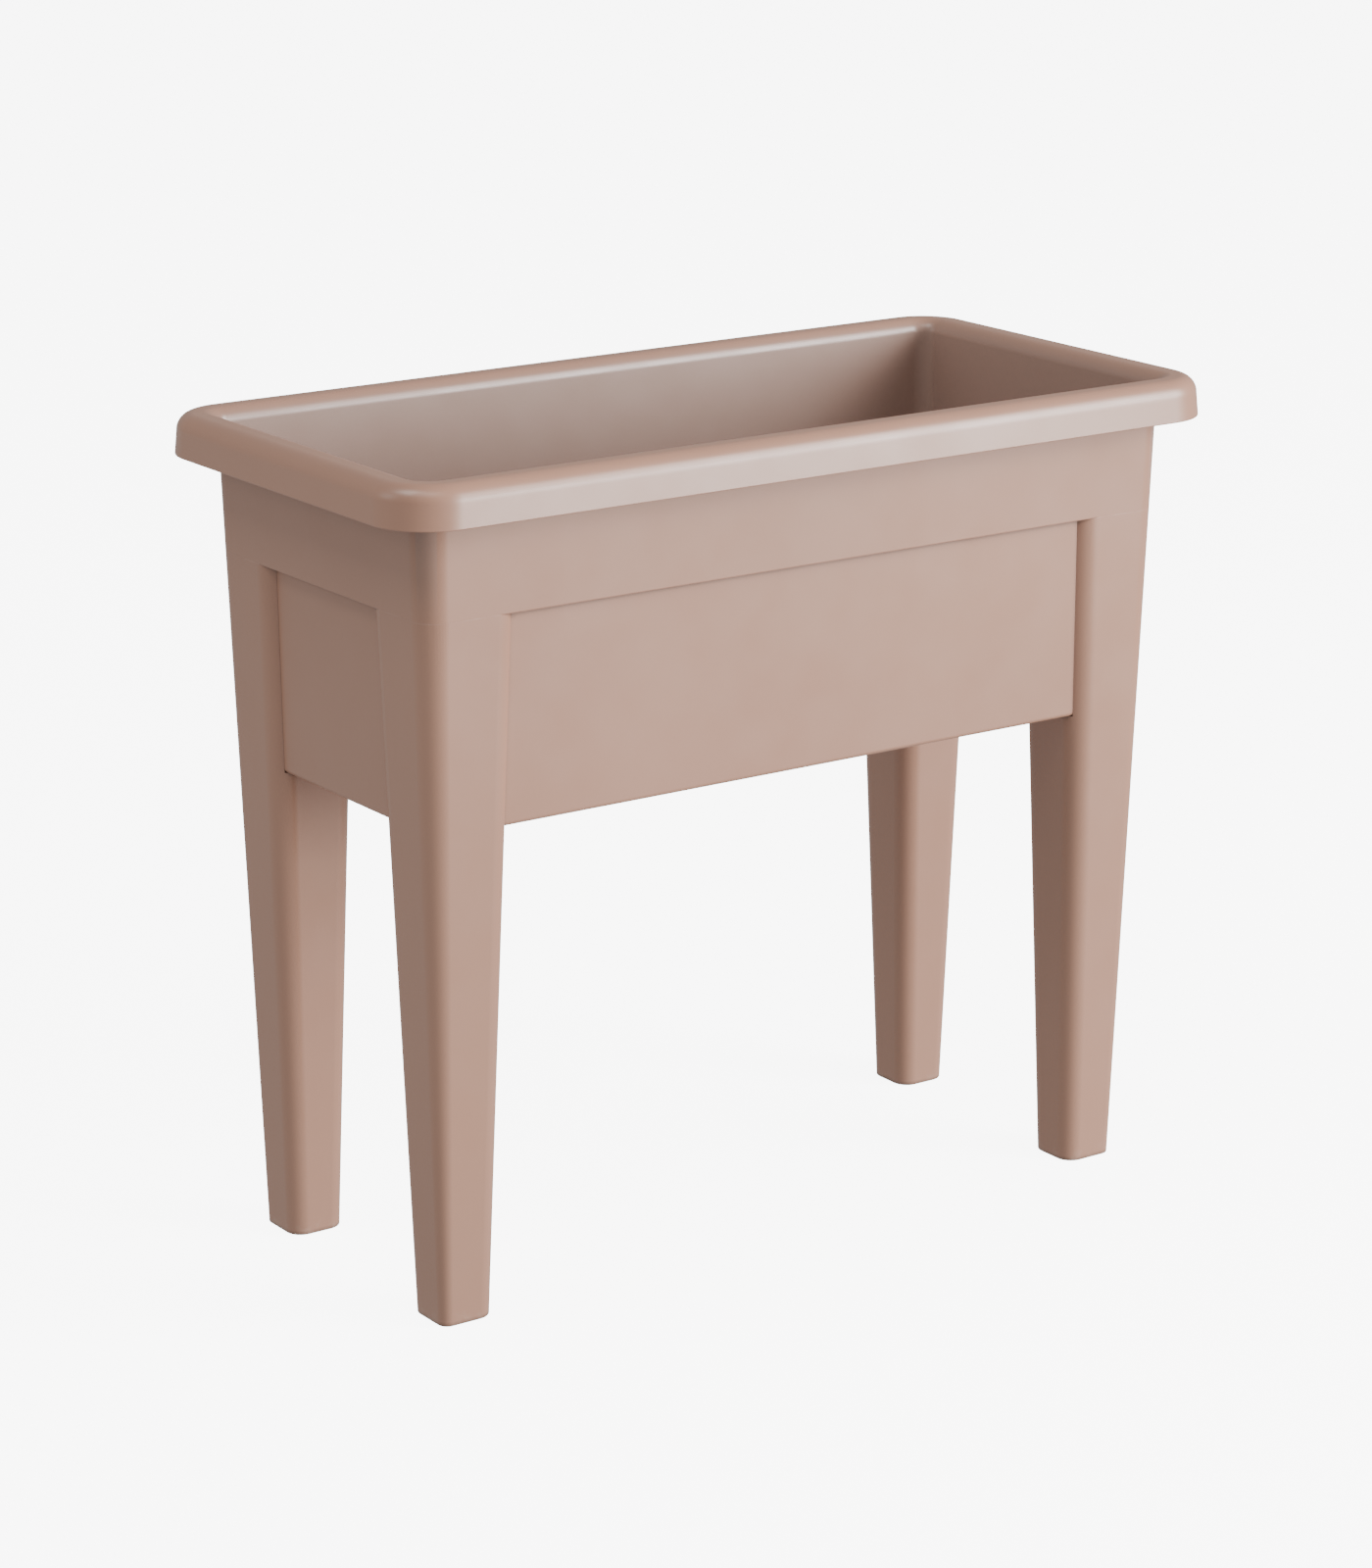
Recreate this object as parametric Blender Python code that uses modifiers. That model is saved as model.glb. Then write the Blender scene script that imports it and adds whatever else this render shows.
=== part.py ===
"""Raised planter on four legs, in metres, +Z up.

The origin is on the floor under the middle of the planter. +X runs along its length and -Y is its front.
A moulded trough with a broad rim steps in under its upper band. Four hollow, tapered legs slide up over its
lower corners until they meet that step, and two screws through the trough's walls hold each of them. Inside,
a perforated grid stands over the water reservoir, and a screw-in plug closes the drain under the floor.
"""

import math

import bmesh
import bpy
from mathutils import Matrix, Vector

GAP = 0.0003  # left between neighbouring pieces
OVERLAP = 0.001  # how far a body reaches into the one that it is joined to
OVERSHOOT = 0.003  # how far a cutter runs past the face that it cuts

# Rim
HEIGHT = 0.653
RIM_HALF = (0.375, 0.1845)  # half length and half width at the skirt's lower edge
SKIRT_BOTTOM = HEIGHT - 0.0318
SKIRT_DRAFT = 0.0012
RIM_CORNER = 0.0465
RIM_OUTER_ROUND = 0.0135
RIM_INNER_ROUND = 0.0115

# Outer faces, which taper in a straight line from the rim's skirt down to the feet
FOOT_HALF = (0.3244, 0.1339)
TOP_HALF = (0.3432, 0.1541)

# Trough
WALL = 0.0028
BAND_BOTTOM = 0.5458
FLOOR_BOTTOM = 0.3831
FLOOR_TOP = FLOOR_BOTTOM + 0.003
RECESS = 0.0081  # how far the wall under the band lies behind the outer faces
BOTTOM_EDGE_ROUND = 0.0035
FLOOR_FILLET = 0.006
INNER_CORNER = 0.013
LOWER_CORNER = 0.010
BAND_EDGE_ROUND = 0.0006

# Ribs under the floor, whose heights include the overlap with it
LONG_RIB = (0.490, 0.0025, 0.011)
LONG_RIB_Y = (-0.085, -0.035, 0.035, 0.085)
CROSS_RIB = (0.0025, 0.220, 0.010)
CROSS_RIB_X = (-0.235, -0.141, -0.047, 0.047, 0.141, 0.235)

# Legs: widths of the two outer faces and radii of the upright edges, at the foot and at the band
LEG_FOOT_WIDTH = (0.0462, 0.0469)
LEG_TOP_WIDTH = (0.0810, 0.0816)
LEG_OUTER_EDGE = (0.0084, 0.0196)
LEG_INNER_EDGE = (0.0135, 0.0194)
LEG_TOP = BAND_BOTTOM - GAP
LEG_WALL = 0.0028
FOOT_PLATE = 0.0035

# Leg screws
SCREW_HEIGHT = 0.515
SCREW_IN_FROM_FACE = 0.040  # from the outer face round the corner to the screw's axis
SCREW_RADIUS = 0.0021
SCREW_LENGTH = 0.0078
SCREW_POINT = 0.0022
HEAD_RADIUS = 0.0046
HEAD_HEIGHT = 0.0026
HEAD_CROWN = 0.0009
CROSS_RECESS = (0.005, 0.001, 0.0014)  # length, width and depth
BOSS_RADIUS = 0.0055

# Drain
COLLAR_RADIUS = 0.017
COLLAR_BOTTOM = FLOOR_BOTTOM - 0.013
SOCKET_RADIUS = 0.0135
SOCKET_DEPTH = 0.0102
DRAIN_BORE = 0.0105
SEAL_THICKNESS = 0.0025
PLUG_ENTRY = 0.0089  # how far the plug's thread reaches into the collar
PLUG_CHAMFER = 0.0008
FLANGE_RADIUS = 0.0205
FLANGE_THICKNESS = 0.0035
GRIP = (0.032, 0.006, 0.010)

# Reservoir grid
GRID_BOTTOM = FLOOR_TOP + 0.030
GRID_THICKNESS = 0.0025
GRID_LIP = 0.008
GRID_CLEARANCE = 0.004
GRID_CORNER = 0.012
GRID_FOOT_RADIUS = 0.011
GRID_FOOT_BORE = 0.0085
GRID_FOOT_X = (-0.300, 0, 0.300)
GRID_FOOT_Y = 0.112
WELL_X = 0.185
WELL_RADIUS = (0.029, 0.034)  # at the bottom and at the grid
WELL_BOTTOM = FLOOR_TOP + 0.003
WELL_WALL = 0.0022
WELL_SLIT = 0.0036
SLOT = (0.026, 0.0036)
SLOT_COLUMNS = 15
SLOT_ROWS = 7
SLOT_PITCH = (0.040, 0.032)

CORNER_STEPS = 6
ROUND_STEPS = 4
TURNED_STEPS = 32
SMALL_TURNED_STEPS = 16
SHARP_ANGLE = math.radians(32)

# Colours are linear RGB
FINISHES = {
    "taupe_plastic": ((0.479, 0.342, 0.283, 1), 0.45, 0.0),
    "dark_plastic": ((0.045, 0.041, 0.039, 1), 0.5, 0.0),
    "black_rubber": ((0.015, 0.015, 0.015, 1), 0.7, 0.0),
    "zinc_steel": ((0.62, 0.62, 0.60, 1), 0.32, 1.0),
}


def new_collection(name):
    collection = bpy.data.collections.new(name)
    bpy.context.scene.collection.children.link(collection)
    return collection


def material(name):
    found = bpy.data.materials.get(name)
    if found:
        return found
    made = bpy.data.materials.new(name)
    made.use_nodes = True
    colour, roughness, metallic = FINISHES[name]
    shader = made.node_tree.nodes["Principled BSDF"]
    shader.inputs["Base Color"].default_value = colour
    shader.inputs["Roughness"].default_value = roughness
    shader.inputs["Metallic"].default_value = metallic
    made.diffuse_color = colour
    return made


def add_object(name, mesh, collection):
    made = bpy.data.objects.new(name, mesh)
    collection.objects.link(made)
    return made


def finish(made, material_name):
    """Gives a part its material and smooth shading that keeps the sharp edges."""
    made.data.materials.clear()
    made.data.materials.append(material(material_name))
    made.data.shade_smooth()
    made.data.set_sharp_from_angle(angle=SHARP_ANGLE)


def from_bmesh(name, shape, collection):
    mesh = bpy.data.meshes.new(name)
    shape.to_mesh(mesh)
    shape.free()
    return add_object(name, mesh, collection)


def tool_object(made):
    """A shape that only cuts or joins: drawn as wire and left out of renders."""
    made.hide_render = True
    made.display_type = "WIRE"
    return made


def change(target, tool, operation):
    modifier = target.modifiers.new(tool.name, "BOOLEAN")
    modifier.operation = operation
    modifier.object = tool
    modifier.solver = "EXACT"


def join(target, *tools):
    for tool in tools:
        change(target, tool, "UNION")


def cut(target, *tools):
    for tool in tools:
        change(target, tool, "DIFFERENCE")


def evaluated_mesh(made):
    bpy.context.view_layer.update()
    return bpy.data.meshes.new_from_object(made.evaluated_get(bpy.context.evaluated_depsgraph_get()))


def between(pair, share):
    return pair[0] + (pair[1] - pair[0]) * share


def outer_half(z):
    """Half length and half width of the planter's outer faces at height z."""
    share = z / SKIRT_BOTTOM
    return between((FOOT_HALF[0], TOP_HALF[0]), share), between((FOOT_HALF[1], TOP_HALF[1]), share)


def outer_corner(z):
    """Radius of the planter's outer upright edges at height z."""
    return between(LEG_OUTER_EDGE, z / BAND_BOTTOM)


def rounded_outline(low, high, radii, z):
    """A rounded rectangle at height z, anticlockwise from above, with radii from the +X+Y corner round."""
    corners = ((high[0], high[1], 0), (low[0], high[1], 1), (low[0], low[1], 2), (high[0], low[1], 3))
    points = []
    for (x, y, quarter), radius in zip(corners, radii):
        centre_x = x + (radius if x == low[0] else -radius)
        centre_y = y + (radius if y == low[1] else -radius)
        for step in range(CORNER_STEPS + 1):
            angle = math.pi / 2 * (quarter + step / CORNER_STEPS)
            points.append((centre_x + radius * math.cos(angle), centre_y + radius * math.sin(angle), z))
    return points


def centred_outline(half, radius, z):
    return rounded_outline((-half[0], -half[1]), half, (radius,) * 4, z)


def grown(half, by):
    return half[0] + by, half[1] + by


def rounding(half, radius, z, start, end, size):
    """Outlines round a quarter bend.

    half, radius and z are of the bend's centre, and each outline is that one grown by size * cos(angle) and
    raised by size * sin(angle).
    """
    outlines = []
    for step in range(ROUND_STEPS + 1):
        angle = math.radians(start + (end - start) * step / ROUND_STEPS)
        out = size * math.cos(angle)
        outlines.append(centred_outline(grown(half, out), radius + out, z + size * math.sin(angle)))
    return outlines


def loft(name, outlines, collection):
    """A closed body through outlines of equal length, from one that faces down to one that faces up."""
    shape = bmesh.new()
    rings = [[shape.verts.new(point) for point in outline] for outline in outlines]
    for lower, upper in zip(rings, rings[1:]):
        for i, corner in enumerate(lower):
            j = (i + 1) % len(lower)
            shape.faces.new((corner, lower[j], upper[j], upper[i]))
    shape.faces.new(reversed(rings[0]))
    shape.faces.new(rings[-1])
    return from_bmesh(name, shape, collection)


def boxes(name, places, collection):
    """One mesh of separate boxes, each given by its centre and its size."""
    shape = bmesh.new()
    for centre, size in places:
        matrix = Matrix.Translation(centre) @ Matrix.Diagonal((*size, 1))
        bmesh.ops.create_cube(shape, size=1, matrix=matrix)
    return tool_object(from_bmesh(name, shape, collection))


def cylinders(name, places, collection, axis="Z", steps=SMALL_TURNED_STEPS):
    """One mesh of separate cylinders or cones, each given by its centre, its two radii and its length."""
    turn = {"X": Matrix.Rotation(math.pi / 2, 4, "Y"), "Y": Matrix.Rotation(-math.pi / 2, 4, "X")}
    shape = bmesh.new()
    for centre, radii, length in places:
        matrix = Matrix.Translation(centre) @ turn.get(axis, Matrix.Identity(4))
        bmesh.ops.create_cone(
            shape,
            cap_ends=True,
            segments=steps,
            radius1=radii[0],
            radius2=radii[1],
            depth=length,
            matrix=matrix,
        )
    return tool_object(from_bmesh(name, shape, collection))


def upright(name, radius, bottom, top, collection):
    """A cylinder on the drain's axis."""
    centre = (0, 0, (bottom + top) / 2)
    return cylinders(name, [(centre, (radius, radius), top - bottom)], collection, steps=TURNED_STEPS)


def turned(name, profile, closed, collection, steps=TURNED_STEPS):
    """A body turned about Z from points (radius, z) that run down its outer side."""
    shape = bmesh.new()
    points = [shape.verts.new((radius, 0, z)) for radius, z in profile]
    for above, below in zip(points, points[1:]):
        shape.edges.new((above, below))
    if closed:
        shape.edges.new((points[-1], points[0]))
    made = from_bmesh(name, shape, collection)
    screw = made.modifiers.new("turn", "SCREW")
    screw.steps = steps
    screw.render_steps = steps
    screw.use_merge_vertices = True
    screw.merge_threshold = 0.00001
    return made


def lower_half(z, grow=0.0):
    """Half sizes of the trough's outside under its band, where it is recessed behind the outer faces."""
    return grown(outer_half(z), grow - RECESS)


def trough_outside():
    """Outlines up the outside, from the floor's underside to the underside of the rim."""
    edge = FLOOR_BOTTOM + BOTTOM_EDGE_ROUND
    bend = HEIGHT - RIM_INNER_ROUND
    inner_bend = RIM_INNER_ROUND - WALL
    band_edge = BAND_BOTTOM + BAND_EDGE_ROUND
    corner = outer_corner(BAND_BOTTOM)
    edge_half = grown(lower_half(edge), -BOTTOM_EDGE_ROUND)
    outlines = rounding(edge_half, LOWER_CORNER - BOTTOM_EDGE_ROUND, edge, -90, 0, BOTTOM_EDGE_ROUND)
    outlines.append(centred_outline(lower_half(BAND_BOTTOM), LOWER_CORNER, BAND_BOTTOM))
    outlines.append(centred_outline(grown(outer_half(BAND_BOTTOM), -BAND_EDGE_ROUND), corner, BAND_BOTTOM))
    outlines.append(centred_outline(outer_half(band_edge), corner, band_edge))
    bend_half = grown(outer_half(bend), inner_bend)
    outlines += rounding(bend_half, outer_corner(bend) + inner_bend, bend, 180, 90, inner_bend)
    return outlines


def rim_skirt():
    """Outlines from the rim's hollow underside, down its skirt, round the lower edge and up over the top."""
    outer_bend = HEIGHT - RIM_OUTER_ROUND
    top_half = grown(RIM_HALF, -SKIRT_DRAFT)
    centre_half = grown(top_half, -RIM_OUTER_ROUND)
    centre_corner = RIM_CORNER - RIM_OUTER_ROUND
    outlines = rounding(centre_half, centre_corner, outer_bend, 90, 0, RIM_OUTER_ROUND - WALL)
    outlines.append(centred_outline(grown(RIM_HALF, -WALL), RIM_CORNER - WALL, SKIRT_BOTTOM))
    outlines.append(centred_outline(RIM_HALF, RIM_CORNER, SKIRT_BOTTOM))
    outlines += rounding(centre_half, centre_corner, outer_bend, 0, 90, RIM_OUTER_ROUND)
    return outlines


def trough_inside():
    """Outlines from the rim's flat top down the inside to the floor."""
    bend = HEIGHT - RIM_INNER_ROUND
    step = BAND_BOTTOM + WALL
    fillet = FLOOR_TOP + FLOOR_FILLET
    bend_half = grown(outer_half(bend), RIM_INNER_ROUND - WALL)
    outlines = rounding(bend_half, INNER_CORNER + RIM_INNER_ROUND, bend, 90, 180, RIM_INNER_ROUND)
    outlines.append(centred_outline(grown(outer_half(step), -WALL), INNER_CORNER, step))
    outlines.append(centred_outline(grown(lower_half(step - WALL), -WALL), LOWER_CORNER - WALL, step - WALL))
    fillet_half = grown(lower_half(fillet), -WALL - FLOOR_FILLET)
    outlines += rounding(fillet_half, LOWER_CORNER - WALL - FLOOR_FILLET, fillet, 0, -90, FLOOR_FILLET)
    return outlines


def screw_places():
    """Each leg screw's name, the point where its axis meets the wall's inner face, and its direction."""
    half = grown(lower_half(SCREW_HEIGHT), -WALL)
    outer = outer_half(SCREW_HEIGHT)
    places = []
    for corner, side_x, side_y in leg_corners():
        end_point = Vector((side_x * half[0], side_y * (outer[1] - SCREW_IN_FROM_FACE), SCREW_HEIGHT))
        side_point = Vector((side_x * (outer[0] - SCREW_IN_FROM_FACE), side_y * half[1], SCREW_HEIGHT))
        places.append((f"leg_screw_{corner}_end", end_point, Vector((side_x, 0, 0))))
        places.append((f"leg_screw_{corner}_side", side_point, Vector((0, side_y, 0))))
    return places


def leg_corners():
    return (
        ("front_left", -1, -1),
        ("front_right", 1, -1),
        ("rear_left", -1, 1),
        ("rear_right", 1, 1),
    )


def screw_cylinders(name, places, radius, start, end, collection):
    """Cylinders along screw axes, from start to end outwards from the wall's inner face."""
    cylinders_by_axis = {"X": [], "Y": []}
    for _, point, direction in places:
        centre = point + direction * (start + end) / 2
        axis = "X" if direction.x else "Y"
        cylinders_by_axis[axis].append((centre, (radius, radius), end - start))
    return [
        cylinders(f"{name}_{axis.lower()}", found, collection, axis=axis)
        for axis, found in cylinders_by_axis.items()
    ]


def floor_ribs(tools):
    def ribs(name, size, places):
        z = FLOOR_BOTTOM + OVERLAP - size[2] / 2
        return boxes(name, [((x, y, z), size) for x, y in places], tools)

    return (
        ribs("long_ribs", LONG_RIB, [(0, y) for y in LONG_RIB_Y]),
        ribs("cross_ribs", CROSS_RIB, [(x, 0) for x in CROSS_RIB_X]),
    )


def planter_trough(parts, tools):
    made = loft("planter_trough", trough_outside() + rim_skirt() + trough_inside(), parts)
    socket_top = COLLAR_BOTTOM + SOCKET_DEPTH
    join(
        made,
        *floor_ribs(tools),
        upright("drain_collar", COLLAR_RADIUS, COLLAR_BOTTOM, FLOOR_BOTTOM + OVERLAP, tools),
    )
    wall_holes = screw_cylinders(
        "wall_hole", screw_places(), SCREW_RADIUS + GAP, -OVERSHOOT, WALL + OVERSHOOT, tools
    )
    cut(
        made,
        upright("drain_socket", SOCKET_RADIUS, COLLAR_BOTTOM - OVERSHOOT, socket_top, tools),
        upright("drain_bore", DRAIN_BORE, socket_top - OVERLAP, FLOOR_TOP + OVERSHOOT, tools),
        *wall_holes,
    )
    finish(made, "taupe_plastic")


def leg_outline(z, inset):
    """The leg's section at height z in the +X+Y corner, drawn in by inset."""
    share = z / BAND_BOTTOM
    outer = outer_half(z)
    widths = [between(pair, share) for pair in zip(LEG_FOOT_WIDTH, LEG_TOP_WIDTH)]
    low = outer[0] - widths[0] + inset, outer[1] - widths[1] + inset
    inner = between(LEG_INNER_EDGE, share) - inset
    return rounded_outline(low, grown(outer, -inset), (outer_corner(z) - inset, inner, inner, inner), z)


def leg_master(tools):
    """The leg of the +X+Y corner: a hollow taper, opened where the trough's lower corner stands in it."""
    leg = loft("leg_master", [leg_outline(0, 0), leg_outline(LEG_TOP, 0)], tools)
    cavity_outlines = [leg_outline(FOOT_PLATE, LEG_WALL), leg_outline(LEG_TOP - LEG_WALL, LEG_WALL)]
    cavity = tool_object(loft("leg_cavity", cavity_outlines, tools))
    room_heights = (FLOOR_BOTTOM - GAP, HEIGHT)
    room_outlines = [centred_outline(lower_half(z, GAP), LOWER_CORNER, z) for z in room_heights]
    room = tool_object(loft("trough_room", room_outlines, tools))
    own_screws = [place for place in screw_places() if "rear_right" in place[0]]
    depth = RECESS + WALL - LEG_WALL / 2
    bosses = screw_cylinders("boss", own_screws, BOSS_RADIUS, WALL, depth, tools)
    pilots = screw_cylinders("pilot", own_screws, SCREW_RADIUS + GAP, 0, SCREW_LENGTH + GAP, tools)
    cut(leg, cavity)
    join(leg, *bosses)
    cut(leg, room, *pilots)
    return leg


def legs(parts, tools):
    """The other three legs are the first one mirrored, and mirroring turns the faces round."""
    master = leg_master(tools)
    for corner, side_x, side_y in leg_corners():
        mesh = evaluated_mesh(master)
        mesh.transform(Matrix.Diagonal((side_x, side_y, 1, 1)))
        if side_x * side_y < 0:
            mesh.flip_normals()
        finish(add_object(f"leg_{corner}", mesh, parts), "taupe_plastic")
    bpy.data.objects.remove(master)


def screw_master(tools):
    """A pan-head screw pointing up +Z, with its head's bearing face at the origin and a cross recess."""
    blunt = 0.0003
    profile = [
        (0, SCREW_LENGTH),
        (SCREW_RADIUS / 3, SCREW_LENGTH - blunt),
        (SCREW_RADIUS, SCREW_LENGTH - SCREW_POINT),
        (SCREW_RADIUS, 0),
        (HEAD_RADIUS, 0),
        (HEAD_RADIUS, HEAD_CROWN - HEAD_HEIGHT),
        (HEAD_RADIUS * 3 / 4, blunt - HEAD_HEIGHT),
        (0, -HEAD_HEIGHT),
    ]
    made = turned("screw_master", profile, False, tools, SMALL_TURNED_STEPS)
    length, width, depth = CROSS_RECESS
    centre = (0, 0, -HEAD_HEIGHT)
    deeper = 1.04  # the two slots' ends and floors would otherwise lie in the same planes
    first = boxes("cross_slot_1", [(centre, (length, width, 2 * depth))], tools)
    second = boxes("cross_slot_2", [(centre, (width, length, 2 * depth * deeper))], tools)
    cut(made, first, second)
    return made


def leg_screws(parts, tools):
    """The walls lean, so each head stands off its wall by its own share of the lean as well as the gap."""
    master = screw_master(tools)
    mesh = evaluated_mesh(master)
    bpy.data.objects.remove(master)
    lean = (TOP_HALF[1] - FOOT_HALF[1]) / SKIRT_BOTTOM
    stand_off = GAP + HEAD_RADIUS * lean
    for name, point, direction in screw_places():
        made = add_object(name, mesh, parts)
        finish(made, "zinc_steel")
        made.rotation_mode = "QUATERNION"
        made.rotation_quaternion = direction.to_track_quat("Z", "X")
        made.location = point - direction * stand_off


def plug_seal(parts):
    top = COLLAR_BOTTOM - GAP
    bottom = top - SEAL_THICKNESS
    outer = COLLAR_RADIUS
    round_off = 0.0006
    profile = [
        (outer - round_off, top),
        (outer, top - round_off),
        (outer, bottom + round_off),
        (outer - round_off, bottom),
        (SOCKET_RADIUS, bottom),
        (SOCKET_RADIUS, top),
    ]
    finish(turned("plug_seal", profile, True, parts), "black_rubber")


def drain_plug(parts, tools):
    """The plug's own origin is on its screw axis, at the underside of the seal."""
    flange_top = COLLAR_BOTTOM - SEAL_THICKNESS - 2 * GAP
    neck = SOCKET_RADIUS - GAP
    tip = COLLAR_BOTTOM + PLUG_ENTRY - flange_top
    profile = [
        (0, tip),
        (neck - PLUG_CHAMFER, tip),
        (neck, tip - PLUG_CHAMFER),
        (neck, 0),
        (FLANGE_RADIUS - PLUG_CHAMFER, 0),
        (FLANGE_RADIUS, -PLUG_CHAMFER),
        (FLANGE_RADIUS, PLUG_CHAMFER - FLANGE_THICKNESS),
        (FLANGE_RADIUS - PLUG_CHAMFER, -FLANGE_THICKNESS),
        (0, -FLANGE_THICKNESS),
    ]
    body = turned("plug_body", profile, False, tools)
    made = add_object("drain_plug", evaluated_mesh(body), parts)
    bpy.data.objects.remove(body)
    made.location = (0, 0, flange_top)
    grip_z = flange_top - FLANGE_THICKNESS + OVERLAP - GRIP[2] / 2
    join(made, boxes("plug_grip", [((0, 0, grip_z), GRIP)], tools))
    finish(made, "dark_plastic")


def slot_places():
    """Slots over the grid, leaving out those that would break into a well or a foot."""
    places = []
    for column in range(SLOT_COLUMNS):
        for row in range(SLOT_ROWS):
            x = (column - (SLOT_COLUMNS - 1) / 2) * SLOT_PITCH[0]
            y = (row - (SLOT_ROWS - 1) / 2) * SLOT_PITCH[1]
            in_well = math.hypot(abs(x) - WELL_X, y) < WELL_RADIUS[1] + SLOT[0] / 2
            in_foot = any(
                abs(x - foot_x) < GRID_FOOT_RADIUS + SLOT[0] / 2
                and abs(abs(y) - GRID_FOOT_Y) < GRID_FOOT_RADIUS + SLOT[1] / 2
                for foot_x in GRID_FOOT_X
            )
            if not (in_well or in_foot):
                places.append((x, y))
    return places


def grid_tray(parts):
    """The grid's plate with its raised edge, as one loft from its underside up and over the edge."""
    top = GRID_BOTTOM + GRID_THICKNESS
    half = grown(lower_half(GRID_BOTTOM), -WALL - GRID_CLEARANCE)
    inside = grown(half, -GRID_THICKNESS)
    inner_corner = GRID_CORNER - GRID_THICKNESS
    outlines = [
        centred_outline(half, GRID_CORNER, GRID_BOTTOM),
        centred_outline(half, GRID_CORNER, top + GRID_LIP),
        centred_outline(inside, inner_corner, top + GRID_LIP),
        centred_outline(inside, inner_corner, top),
    ]
    return loft("reservoir_grid", outlines, parts)


def reservoir_grid(parts, tools):
    """The grid stands on hollow feet, and two slitted wells let the soil reach down to the water."""
    made = grid_tray(parts)
    plate_middle = GRID_BOTTOM + GRID_THICKNESS / 2
    through_plate = GRID_THICKNESS + 2 * OVERSHOOT
    foot_places = [(x, y) for x in GRID_FOOT_X for y in (-GRID_FOOT_Y, GRID_FOOT_Y)]
    well_places = [(-WELL_X, 0), (WELL_X, 0)]

    def standing(name, places, radii, bottom, top, steps=SMALL_TURNED_STEPS):
        solids = [((x, y, (bottom + top) / 2), radii, top - bottom) for x, y in places]
        return cylinders(name, solids, tools, steps=steps)

    def in_plate(name, places, size, z=plate_middle):
        return boxes(name, [((x, y, z), size) for x, y in places], tools)

    foot_bottom = FLOOR_TOP + GAP
    foot_radii = (GRID_FOOT_RADIUS,) * 2
    bore_radii = (GRID_FOOT_BORE,) * 2
    well_inside = [radius - WELL_WALL for radius in WELL_RADIUS]
    well_floor = WELL_BOTTOM + WELL_WALL
    well_mouth = plate_middle + OVERSHOOT
    slit_z = (WELL_BOTTOM + GRID_BOTTOM) / 2
    slit_length = 3 * WELL_RADIUS[1]
    slit_height = (GRID_BOTTOM - WELL_BOTTOM) / 2
    join(
        made,
        standing("grid_feet", foot_places, foot_radii, foot_bottom, plate_middle),
        standing("well_outside", well_places, WELL_RADIUS, WELL_BOTTOM, plate_middle, TURNED_STEPS),
    )
    cut(
        made,
        standing("foot_bores", foot_places, bore_radii, foot_bottom - OVERSHOOT, GRID_BOTTOM - OVERLAP),
        standing("well_inside", well_places, well_inside, well_floor, well_mouth, TURNED_STEPS),
        in_plate("well_slits_1", well_places, (slit_length, WELL_SLIT, slit_height), slit_z),
        in_plate("well_slits_2", well_places, (WELL_SLIT, slit_length, slit_height + OVERLAP), slit_z),
        in_plate("grid_slots", slot_places(), (*SLOT, through_plate)),
    )
    finish(made, "dark_plastic")


def main():
    for existing in list(bpy.data.objects):
        bpy.data.objects.remove(existing)
    parts = new_collection("raised_planter")
    tools = new_collection("cutters")
    tools.hide_render = True
    planter_trough(parts, tools)
    legs(parts, tools)
    leg_screws(parts, tools)
    plug_seal(parts)
    drain_plug(parts, tools)
    reservoir_grid(parts, tools)


main()
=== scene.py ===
"""The raised planter's looks: finer mouldings, materials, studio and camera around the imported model.

Metres, +Z up, in the model's frame: the origin is on the floor under the middle, and -Y is the front.
"""

import math

import bmesh
import bpy
from mathutils import Matrix, Vector


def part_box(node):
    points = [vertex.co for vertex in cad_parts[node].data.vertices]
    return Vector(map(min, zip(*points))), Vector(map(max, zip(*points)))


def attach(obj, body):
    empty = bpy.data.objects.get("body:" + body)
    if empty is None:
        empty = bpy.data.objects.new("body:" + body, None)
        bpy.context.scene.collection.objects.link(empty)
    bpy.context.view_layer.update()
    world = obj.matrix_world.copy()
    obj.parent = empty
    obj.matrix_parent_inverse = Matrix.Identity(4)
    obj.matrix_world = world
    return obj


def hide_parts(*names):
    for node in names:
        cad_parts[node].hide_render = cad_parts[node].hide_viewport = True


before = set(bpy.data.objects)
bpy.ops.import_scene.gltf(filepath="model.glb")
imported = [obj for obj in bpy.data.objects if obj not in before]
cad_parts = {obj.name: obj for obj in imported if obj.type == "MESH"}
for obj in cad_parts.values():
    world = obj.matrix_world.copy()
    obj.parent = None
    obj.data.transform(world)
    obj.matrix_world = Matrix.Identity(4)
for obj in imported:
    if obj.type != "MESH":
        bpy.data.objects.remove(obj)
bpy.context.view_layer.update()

# The model's own dimensions
HEIGHT = 0.653
RIM_HALF = (0.375, 0.1845)
SKIRT_BOTTOM = HEIGHT - 0.0318
SKIRT_DRAFT = 0.0012
RIM_CORNER = 0.0465
RIM_OUTER_ROUND = 0.0135
RIM_INNER_ROUND = 0.0115
FOOT_HALF = (0.3244, 0.1339)
TOP_HALF = (0.3432, 0.1541)
WALL = 0.0028
BAND_BOTTOM = 0.5458
FLOOR_BOTTOM = 0.3831
FLOOR_TOP = FLOOR_BOTTOM + 0.003
RECESS = 0.0081
BOTTOM_EDGE_ROUND = 0.0035
FLOOR_FILLET = 0.006
INNER_CORNER = 0.013
LOWER_CORNER = 0.010
LONG_RIB = (0.490, 0.0025, 0.011)
LONG_RIB_Y = (-0.085, -0.035, 0.035, 0.085)
CROSS_RIB = (0.0025, 0.220, 0.010)
CROSS_RIB_X = (-0.235, -0.141, -0.047, 0.047, 0.141, 0.235)
LEG_FOOT_WIDTH = (0.0462, 0.0469)
LEG_TOP_WIDTH = (0.0810, 0.0816)
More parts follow.
